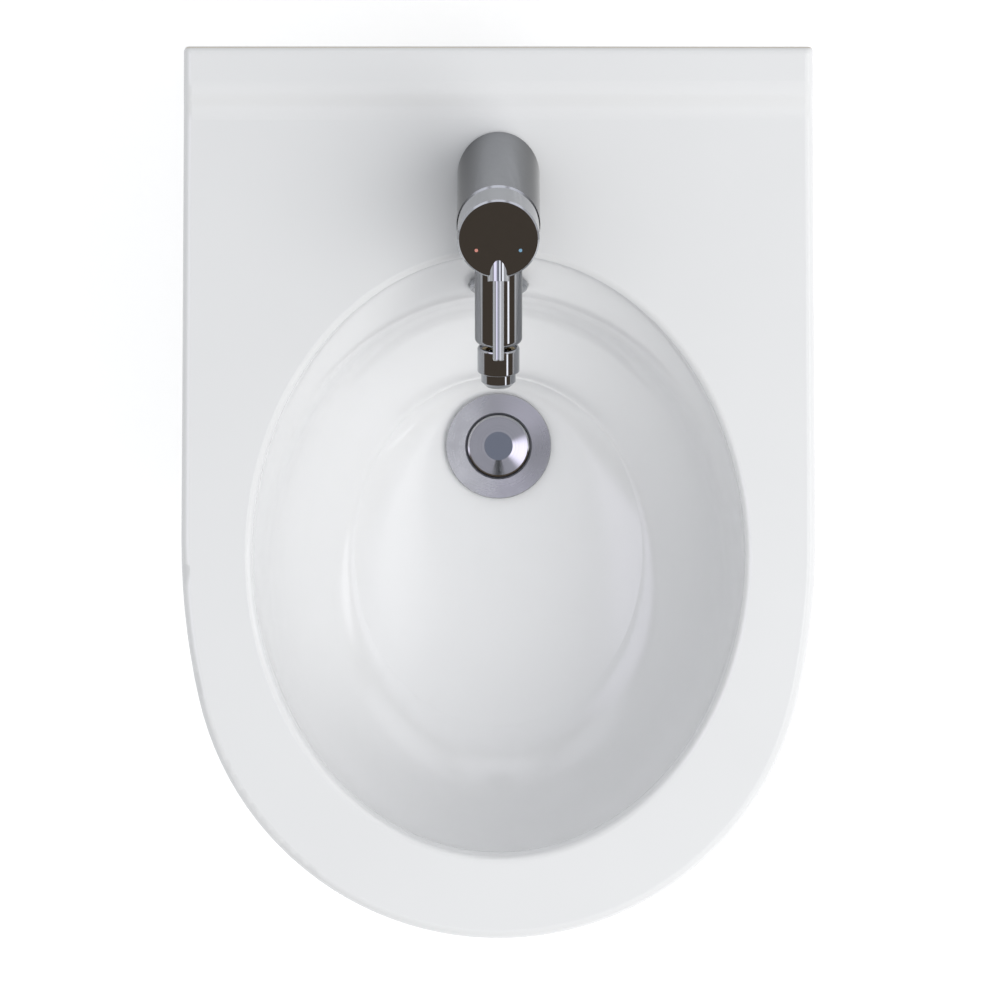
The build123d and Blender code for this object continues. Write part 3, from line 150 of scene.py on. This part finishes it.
def blended(tree, share, first, second, blend="MIX"):
    """A colour that runs from first to second, each a colour or a socket, as the share runs from 0 to 1."""
    mixer = tree.nodes.new("ShaderNodeMix")
    mixer.data_type = "RGBA"
    mixer.blend_type = blend
    feed(tree, mixer.inputs["Factor"], share)
    feed(tree, mixer.inputs["A"], first)
    feed(tree, mixer.inputs["B"], second)
    return mixer.outputs["Result"]


def darker(colour, share):
    """A colour brought down to a share of itself."""
    return [share * part for part in colour]


def split(tree, vector):
    """The X, Y and Z of a vector, as a node's outputs."""
    axes = tree.nodes.new("ShaderNodeSeparateXYZ")
    tree.links.new(vector, axes.inputs["Vector"])
    return axes.outputs


def bump(tree, shader, height, distance):
    """Relief of so many metres on a shader, from a height of 0 to 1."""
    node = tree.nodes.new("ShaderNodeBump")
    node.inputs["Distance"].default_value = distance
    tree.links.new(height, node.inputs["Height"])
    tree.links.new(node.outputs["Normal"], shader.inputs["Normal"])


def math_node(tree, operation, first, second=None):
    """One arithmetic step on a socket and a number or a second socket."""
    node = tree.nodes.new("ShaderNodeMath")
    node.operation = operation
    feed(tree, node.inputs[0], first)
    if second is not None:
        feed(tree, node.inputs[1], second)
    return node.outputs["Value"]


# Materials

# The glaze: waves per metre of its tint, shine and relief, its darker tint, and its range of roughness.
TINT_WAVES = 9.0
SHINE_WAVES = 40.0
RIPPLE_WAVES = 55.0
GLAZE_TINT = 0.985
GLAZE_ROUGHNESS = (0.10, 0.16)
GLAZE_IOR = 1.5

# The bare clay: how thick a layer at the wall counts as clay, in metres, and how much rougher
# than the glaze it is.
CLAY_LAYER = 0.0012
CLAY_ROUGHNESS = 0.6

# Chrome: waves per metre of its water marks and their darker tint.
MARK_WAVES = 180.0
MARK_TINT = 0.96

# Painted shade on the barrel's chrome: its colour darkens from one distance off its middle plane to another,
# in metres, down to a share, standing in for the shade that its curved flanks take.
BARREL_PAINTED_SHADE = (0.006, 0.0245, 0.12)
BARREL_EDGE = 0.72

# Ringed metal: the darker tint of its scratches, how much rougher they are, and its clouds per metre.
SCRATCH_TINT = 0.88
SCRATCH_ROUGHNESS = 0.06
RING_CLOUDS = 60.0

# Grained and moulded pieces: their darker tints and their clouds per metre.
GRAIN_TINT = 0.85
GRAIN_CLOUDS = 45.0
MOULDED_TINT = 0.9
MOULDED_CLOUDS = 70.0

RED_ENAMEL = (0.72, 0.30, 0.25)
BLUE_ENAMEL = (0.22, 0.42, 0.60)
GREY_PLASTIC = (0.30, 0.31, 0.32)


def glazed_ceramic(settings):
    """White sanitary glaze, a hard clear gloss in slow, shallow waves, with bare clay on the wall face."""
    material, tree, shader = new_material("glazed_ceramic")
    place = object_coordinates(tree)
    tint = spread(tree, noise(tree, place, TINT_WAVES))
    glaze = blended(tree, tint, settings.glaze_colour, darker(settings.glaze_colour, GLAZE_TINT))
    wall_face = math_node(tree, "GREATER_THAN", split(tree, place)["Y"], CERAMIC_HIGH.y - CLAY_LAYER)
    feed(tree, shader.inputs["Base Color"], blended(tree, wall_face, glaze, settings.clay_colour))
    shine = spread(tree, noise(tree, place, SHINE_WAVES), *GLAZE_ROUGHNESS)
    rough = math_node(tree, "ADD", shine, math_node(tree, "MULTIPLY", wall_face, CLAY_ROUGHNESS))
    feed(tree, shader.inputs["Roughness"], rough)
    shader.inputs["IOR"].default_value = GLAZE_IOR
    bump(tree, shader, noise(tree, place, RIPPLE_WAVES, detail=1.0), settings.glaze_ripple)
    return material


def chrome(settings, name="chrome", roughness=0.045, flank_painted_shade=None, edge=1.0):
    """Polished chrome with the faintest haze of wiped water marks and, where asked, painted shade that
    darkens a round piece's flanks.
    """
    material, tree, shader = new_material(name)
    place = object_coordinates(tree)
    marks = noise(tree, place, MARK_WAVES, detail=4.0, roughness=0.6)
    colour = settings.chrome_colour
    tone = blended(tree, spread(tree, marks), colour, darker(colour, MARK_TINT))
    # Painted shade: the colour darkens towards the flanks.
    if flank_painted_shade:
        tone = painted_flank_shade(tree, place, tone, *flank_painted_shade)
    shader.inputs["Specular Tint"].default_value = (edge, edge, edge, 1)
    feed(tree, shader.inputs["Base Color"], tone)
    feed(tree, shader.inputs["Roughness"], spread(tree, marks, roughness * 0.8, roughness * 1.5))
    shader.inputs["Metallic"].default_value = 1.0
    return material


def painted_flank_shade(tree, place, tone, start, end, depth):
    """Painted shade: a colour that darkens from one distance off the middle plane to another, standing in for
    the shade on a round piece's flanks.
    """
    off_middle = math_node(tree, "ABSOLUTE", split(tree, place)["X"])
    shade = mapped(tree, off_middle, start, end, 1.0, depth, smooth=True)
    return blended(tree, 1.0, tone, shade, blend="MULTIPLY")


def ringed_metal(name, colour, roughness, centre, pitch, depth, brushed=0.0):
    """Metal turned or brushed round an upright centre: fine rings, a little uneven, that catch the light."""
    material, tree, shader = new_material(name)
    place = object_coordinates(tree, centre)
    axes = split(tree, place)
    across = math_node(tree, "POWER", axes["X"], 2.0)
    along = math_node(tree, "POWER", axes["Y"], 2.0)
    radius = math_node(tree, "SQRT", math_node(tree, "ADD", across, along))
    line = tree.nodes.new("ShaderNodeCombineXYZ")
    tree.links.new(radius, line.inputs["X"])
    scratches = noise(tree, line.outputs["Vector"], 1.0 / pitch, detail=3.0, roughness=0.7)
    cloud = noise(tree, place, RING_CLOUDS, detail=3.0)
    tone = blended(tree, spread(tree, scratches), colour, darker(colour, SCRATCH_TINT))
    feed(tree, shader.inputs["Base Color"], tone)
    smooth = spread(tree, cloud, roughness * 0.7, roughness)
    rough = math_node(tree, "ADD", smooth, spread(tree, scratches, 0.0, SCRATCH_ROUGHNESS))
    feed(tree, shader.inputs["Roughness"], rough)
    shader.inputs["Metallic"].default_value = 1.0
    shader.inputs["Anisotropic"].default_value = brushed
    along_rings = tree.nodes.new("ShaderNodeTangent")
    along_rings.direction_type = "RADIAL"
    along_rings.axis = "Z"
    tree.links.new(along_rings.outputs["Tangent"], shader.inputs["Tangent"])
    bump(tree, shader, scratches, depth)
    return material


def grained_metal(name, colour, roughness, grain, depth):
    """Cast, rolled or turned metal with a fine even grain."""
    material, tree, shader = new_material(name)
    place = object_coordinates(tree)
    speck = noise(tree, place, 1.0 / grain, detail=3.0, roughness=0.6)
    cloud = spread(tree, noise(tree, place, GRAIN_CLOUDS))
    feed(tree, shader.inputs["Base Color"], blended(tree, cloud, colour, darker(colour, GRAIN_TINT)))
    feed(tree, shader.inputs["Roughness"], spread(tree, speck, roughness * 0.8, roughness * 1.2))
    shader.inputs["Metallic"].default_value = 1.0
    bump(tree, shader, speck, depth)
    return material


def moulded(name, colour, roughness, grain, depth):
    """Moulded plastic, rubber or pressed ceramic: an even tone with a fine skin."""
    material, tree, shader = new_material(name)
    place = object_coordinates(tree)
    skin = noise(tree, place, 1.0 / grain, detail=3.0, roughness=0.6)
    cloud = spread(tree, noise(tree, place, MOULDED_CLOUDS))
    feed(tree, shader.inputs["Base Color"], blended(tree, cloud, colour, darker(colour, MOULDED_TINT)))
    feed(tree, shader.inputs["Roughness"], spread(tree, skin, roughness * 0.85, roughness * 1.15))
    bump(tree, shader, skin, depth)
    return material


def enamel(name, colour):
    """A drop of coloured enamel that has set with a shiny skin."""
    return moulded(name, colour, roughness=0.12, grain=0.0006, depth=0.000004)


# The finishes of the pieces that don't show from above, by slot: how each is made, its name, colour
# and roughness, and the size and depth of its grain in metres.
INNER_FINISHES = {
    "brass": (grained_metal, "turned_brass", (0.60, 0.44, 0.20), 0.28, 0.0003, 0.00001),
    "zinc": (grained_metal, "zinc_plate", (0.52, 0.52, 0.50), 0.35, 0.0002, 0.00001),
    "rubber": (moulded, "black_rubber", (0.022, 0.022, 0.024), 0.65, 0.0005, 0.00003),
    "nylon": (moulded, "white_nylon", (0.72, 0.71, 0.68), 0.45, 0.0005, 0.00001),
    "alumina": (moulded, "lapped_alumina", (0.80, 0.79, 0.75), 0.25, 0.0002, 0.000002),
}


def dress(material, slot, *names):
    """Gives CAD pieces one finish."""
    for name in names:
        piece = NODES[name]
        piece.data.materials.clear()
        piece.data.materials.append(material)


def dress_inner(names):
    """Gives pieces that don't show from above the finish of their slot, made once for all that share it."""
    made = {}
    for name in names:
        slot = SLOTS[name]
        if slot not in made:
            make, *look = INNER_FINISHES[slot]
            made[slot] = make(*look)
        dress(made[slot], slot, name)


# Settings


class BidetFinishes(bpy.types.PropertyGroup):
    """Colours and surface depths of the bidet's finishes."""

    glaze_colour: bpy.props.FloatVectorProperty(
        name="Glaze", description="White of the glazed ceramic", default=(0.87, 0.875, 0.885), subtype="COLOR"
    )
    clay_colour: bpy.props.FloatVectorProperty(
        name="Clay",
        description="Bare fired clay on the wall face",
        default=(0.74, 0.70, 0.64),
        subtype="COLOR",
    )
    glaze_ripple: bpy.props.FloatProperty(
        name="Glaze ripple",
        description="Depth of the glaze's slow waves",
        default=0.00004,
        unit="LENGTH",
        precision=6,
    )
    chrome_colour: bpy.props.FloatVectorProperty(
        name="Chrome",
        description="Reflected tint of the plating",
        default=(0.35, 0.36, 0.38),
        subtype="COLOR",
    )
    brushed_colour: bpy.props.FloatVectorProperty(
        name="Brushed steel",
        description="Tint of the brushed metal",
        default=(0.48, 0.485, 0.50),
        subtype="COLOR",
    )


class BidetStage(bpy.types.PropertyGroup):
    """Floor, lamp, sky and camera."""

    floor_drop: bpy.props.FloatProperty(
        name="Floor below rim", description="Height of the rim over the floor", default=0.40, unit="LENGTH"
    )
    camera_height: bpy.props.FloatProperty(
        name="Camera height", description="Height of the camera over the rim", default=5.0, unit="LENGTH"
    )
    view_width: bpy.props.FloatProperty(
        name="Width in view",
        description="Width that the picture takes in at the rim",
        default=0.58275,
        unit="LENGTH",
    )
    aim: bpy.props.FloatVectorProperty(
        name="Aim",
        description="Point of the rim at the middle of the picture",
        default=(0.0009, -0.2643, 0.085),
        subtype="TRANSLATION",
    )
    sky: bpy.props.FloatProperty(name="Sky", description="Strength of the soft light all round", default=0.60)
    key: bpy.props.FloatProperty(
        name="Key lamp",
        description="Power of the large lamp at the right and front",
        default=60.0,
        subtype="POWER",
    )


# Operators


class BIDET_OT_ceramic(bpy.types.Operator):
    """Glazes the ceramic body"""

    bl_idname = "bidet.ceramic"
    bl_label = "Ceramic body"

    def execute(self, context):
        dress(glazed_ceramic(context.scene.bidet_finishes), "glazed_ceramic", "ceramic_body")
        return {"FINISHED"}


class BIDET_OT_tap(bpy.types.Operator):
    """Plates the mixer, its handle and its swivelling nozzle"""

    bl_idname = "bidet.tap"
    bl_label = "Mixer tap"

    def execute(self, context):
        finishes = context.scene.bidet_finishes
        # The barrel's chrome gets painted shade that darkens its flanks.
        dress(chrome(finishes, "barrel_chrome_painted_shade", flank_painted_shade=BARREL_PAINTED_SHADE, edge=BARREL_EDGE), "chrome", "mixer_body")
        plate = chrome(finishes)
        dress(plate, "chrome", "handle_cap", "lever_pin", "swivel_collar", "aerator_nozzle", "swivel_ball")
        dress(enamel("red_enamel", RED_ENAMEL), "red_enamel", "hot_dot")
        dress(enamel("blue_enamel", BLUE_ENAMEL), "blue_enamel", "cold_dot")
        insert = moulded("grey_plastic", GREY_PLASTIC, roughness=0.35, grain=0.0004, depth=0.00001)
        dress(insert, "grey_plastic", "aerator_insert")
        return {"FINISHED"}


class BIDET_OT_cartridge(bpy.types.Operator):
    """Finishes the pieces inside the mixer"""

    bl_idname = "bidet.cartridge"
    bl_label = "Cartridge"

    def execute(self, context):
        dress_inner(CARTRIDGE_PIECES)
        return {"FINISHED"}


class BIDET_OT_waste(bpy.types.Operator):
    """Brushes the waste's flange, polishes its plug and finishes what holds it"""

    bl_idname = "bidet.waste"
    bl_label = "Waste and overflow"

    def execute(self, context):
        finishes = context.scene.bidet_finishes
        colour = finishes.brushed_colour
        centre = (WASTE_CENTRE.x, WASTE_CENTRE.y, 0)
        flange = ringed_metal(
            "waste_metal", colour, roughness=0.30, centre=centre, pitch=0.0004, depth=0.000003, brushed=0.85
        )
        dress(flange, SLOTS["waste_body"], "waste_body")
        plug = ringed_metal("plug_metal", colour, roughness=0.09, centre=centre, pitch=0.0009, depth=0.000001)
        dress(plug, SLOTS["waste_plug"], "waste_plug")
        dress(chrome(finishes, "ring_chrome", roughness=0.06), SLOTS["overflow_ring"], "overflow_ring")
        dress_inner(WASTE_PIECES)
        return {"FINISHED"}


class BIDET_OT_fixings(bpy.types.Operator):
    """Finishes the wall barrels, side screws and caps, and the mixer's stud, plate and nut"""

    bl_idname = "bidet.fixings"
    bl_label = "Fixings"

    def execute(self, context):
        caps = chrome(context.scene.bidet_finishes, "cap_chrome", roughness=0.05)
        dress(caps, SLOTS["side_caps"], "side_caps")
        dress_inner(FIXING_PIECES)
        return {"FINISHED"}


class BIDET_OT_stage(bpy.types.Operator):
    """Sets the floor, the lamp, the sky and the camera"""

    bl_idname = "bidet.stage"
    bl_label = "Stage"

    def execute(self, context):
        settings = context.scene.bidet_stage
        lay_floor(settings)
        light_world(context.scene, settings)
        hang_lamp(settings)
        place_camera(context.scene, settings)
        context.scene.view_settings.view_transform = "Standard"
        return {"FINISHED"}


# Stage

# The floor: its width in metres, its grey, its roughness, and its own glow where it is seen or mirrored.
FLOOR_SIZE = 8.0
FLOOR_GREY = (0.9, 0.9, 0.9)
FLOOR_ROUGHNESS = 0.8
FLOOR_GLOW = 0.5

# The lamp, a large disk: its place, the point that it lights and its width, in metres, and its colour.
LAMP_PLACE = Vector((1.75, -1.35, 2.6))
LAMP_TARGET = Vector((0, -0.26, 0.05))
LAMP_SIZE = 3.2
LAMP_COLOUR = (1.0, 0.99, 0.97)

# The soft light all round, and the pale grey that shows beyond the floor.
SKY_COLOUR = (0.97, 0.985, 1.0)
FAR_COLOUR = (0.8, 0.8, 0.8)

# The camera: its sensor in millimetres, and how far it sees in metres.
SENSOR_WIDTH = 36.0
CAMERA_REACH = 50.0

# The room that polished metal mirrors: brown walls, and soft cards by their lean to the right
# and to the front, their radius and soft edge in degrees, and their colour.
ROOM_COLOUR = (0.13, 0.104, 0.08)
ROOM_CARDS = (
    (0.0, -89.0, 98.0, 6.0, (1.0, 1.0, 1.02)),
    (0.0, 0.0, 62.0, 5.0, ROOM_COLOUR),
    (0.0, -50.0, 14.0, 6.0, (1.5, 1.5, 1.6)),
    (45.0, -50.0, 14.0, 6.0, (1.5, 1.5, 1.6)),
    (-45.0, -50.0, 14.0, 6.0, (1.5, 1.5, 1.6)),
    (0.0, 0.0, 31.0, 3.0, (0.60, 0.60, 0.68)),
    (-36.0, -10.0, 17.0, 6.0, (2.2, 2.1, 2.5)),
    (15.0, -2.0, 8.0, 2.5, (2.0, 2.0, 2.1)),
    (34.0, -4.0, 3.5, 2.0, (0.10, 0.08, 0.07)),
    (50.0, -6.0, 9.0, 4.0, (2.8, 2.8, 2.9)),
    (56.0, 45.0, 4.0, 2.0, (2.6, 2.6, 2.7)),
    (0.0, 0.0, 5.0, 2.0, (0.30, 0.33, 0.42)),
)


def lay_floor(settings):
    """A pale floor that shows near white and keeps the bidet's soft shadow."""
    for piece in bpy.context.selected_objects:
        piece.select_set(False)
    bpy.ops.mesh.primitive_plane_add(size=FLOOR_SIZE, location=(0, 0, CERAMIC_HIGH.z - settings.floor_drop))
    floor = bpy.context.active_object
    floor.name = "floor"
    bpy.ops.object.transform_apply(location=True, rotation=True, scale=True)
    material, tree, shader = new_material("floor_white")
    shader.inputs["Base Color"].default_value = (*FLOOR_GREY, 1)
    shader.inputs["Roughness"].default_value = FLOOR_ROUGHNESS
    paths = tree.nodes.new("ShaderNodeLightPath").outputs
    seen = math_node(tree, "MAXIMUM", paths["Is Camera Ray"], paths["Is Glossy Ray"])
    seen = math_node(tree, "MAXIMUM", seen, paths["Is Transmission Ray"])
    glow = math_node(tree, "MULTIPLY", seen, FLOOR_GLOW)
    shader.inputs["Emission Color"].default_value = (1, 1, 1, 1)
    tree.links.new(glow, shader.inputs["Emission Strength"])
    floor.data.materials.append(material)


def direction(right, forward):
    """A unit direction that leans from straight up by so many degrees to the right and to the front."""
    lean = Vector((math.tan(math.radians(right)), -math.tan(math.radians(forward)), 1.0))
    return lean.normalized()


def add_card(tree, view, under, right, forward, radius, soft, colour):
    """Lays a soft round card of one colour over the mirrored room, so many degrees off straight up."""
    facing = tree.nodes.new("ShaderNodeVectorMath")
    facing.operation = "DOT_PRODUCT"
    facing.inputs[1].default_value = direction(right, forward)
    tree.links.new(view, facing.inputs[0])
    outer = math.cos(math.radians(radius + soft))
    inner = math.cos(math.radians(max(radius - soft, 0.0)))
    mask = mapped(tree, facing.outputs["Value"], outer, inner, 0.0, 1.0, smooth=True)
    return blended(tree, mask, under, colour)


def light_world(scene, settings):
    """A pale sky. Metal mirrors a room above the horizon and, below it, the pale grey the camera sees."""
    world = bpy.data.worlds.new("studio_sky")
    world.use_nodes = True
    tree = world.node_tree
    tree.nodes.clear()
    output = tree.nodes.new("ShaderNodeOutputWorld")
    view = tree.nodes.new("ShaderNodeTexCoord").outputs["Generated"]
    paths = tree.nodes.new("ShaderNodeLightPath").outputs
    room = ROOM_COLOUR
    for card in ROOM_CARDS:
        room = add_card(tree, view, room, *card)
    below = math_node(tree, "LESS_THAN", split(tree, view)["Z"], 0.0)
    below = math_node(tree, "MULTIPLY", below, paths["Is Glossy Ray"])
    clear = math_node(tree, "MAXIMUM", paths["Is Camera Ray"], paths["Is Transmission Ray"])
    clear = math_node(tree, "MAXIMUM", clear, below)
    even = background(tree, SKY_COLOUR, settings.sky)
    light = mixed_light(tree, paths["Is Glossy Ray"], even, background(tree, room))
    light = mixed_light(tree, clear, light, background(tree, FAR_COLOUR))
    tree.links.new(light, output.inputs["Surface"])
    scene.world = world


def background(tree, colour, strength=1.0):
    """A world light of one colour, or of the colour that a socket gives."""
    node = tree.nodes.new("ShaderNodeBackground")
    feed(tree, node.inputs["Color"], colour)
    node.inputs["Strength"].default_value = strength
    return node.outputs["Background"]


def mixed_light(tree, share, first, second):
    """The first light where the share is 0 and the second where it is 1."""
    mixer = tree.nodes.new("ShaderNodeMixShader")
    tree.links.new(share, mixer.inputs["Fac"])
    tree.links.new(first, mixer.inputs[1])
    tree.links.new(second, mixer.inputs[2])
    return mixer.outputs["Shader"]


def hang_lamp(settings):
    """One large soft lamp high at the right and front, which polished metal doesn't mirror."""
    lamp = bpy.data.lights.new("key_lamp", "AREA")
    lamp.shape = "DISK"
    lamp.size = LAMP_SIZE
    lamp.energy = settings.key
    lamp.color = LAMP_COLOUR
    holder = bpy.data.objects.new("key_lamp", lamp)
    bpy.context.scene.collection.objects.link(holder)
    holder.location = LAMP_PLACE
    holder.rotation_euler = (LAMP_TARGET - LAMP_PLACE).to_track_quat("-Z", "Y").to_euler()
    holder.visible_glossy = False


def place_camera(scene, settings):
    """A long lens straight above the bowl, with the wall at the top of the picture."""
    lens = bpy.data.cameras.new("camera")
    lens.sensor_width = SENSOR_WIDTH
    lens.lens = SENSOR_WIDTH * settings.camera_height / settings.view_width
    lens.clip_end = CAMERA_REACH
    camera = bpy.data.objects.new("camera", lens)
    scene.collection.objects.link(camera)
    camera.location = Vector(settings.aim) + Vector((0, 0, settings.camera_height))
    scene.camera = camera


class BIDET_PT_panel(bpy.types.Panel):
    """The bidet's pieces and stage"""

    bl_label = "Bidet"
    bl_idname = "BIDET_PT_panel"
    bl_space_type = "VIEW_3D"
    bl_region_type = "UI"
    bl_category = "Bidet"

    def draw(self, context):
        layout = self.layout
        for group in (context.scene.bidet_finishes, context.scene.bidet_stage):
            for name in group.__annotations__:
                layout.prop(group, name)
        for operator in OPERATORS:
            layout.operator(operator.bl_idname)


OPERATORS = (
    BIDET_OT_ceramic,
    BIDET_OT_tap,
    BIDET_OT_cartridge,
    BIDET_OT_waste,
    BIDET_OT_fixings,
    BIDET_OT_stage,
)
CLASSES = (BidetFinishes, BidetStage, *OPERATORS, BIDET_PT_panel)


def register():
    for item in CLASSES:
        bpy.utils.register_class(item)
    bpy.types.Scene.bidet_finishes = bpy.props.PointerProperty(type=BidetFinishes)
    bpy.types.Scene.bidet_stage = bpy.props.PointerProperty(type=BidetStage)


def unregister():
    del bpy.types.Scene.bidet_stage
    del bpy.types.Scene.bidet_finishes
    for item in reversed(CLASSES):
        bpy.utils.unregister_class(item)


def main():
    register()
    for operator in OPERATORS:
        category, name = operator.bl_idname.split(".")
        getattr(getattr(bpy.ops, category), name)()


if __name__ == "__main__":
    main()
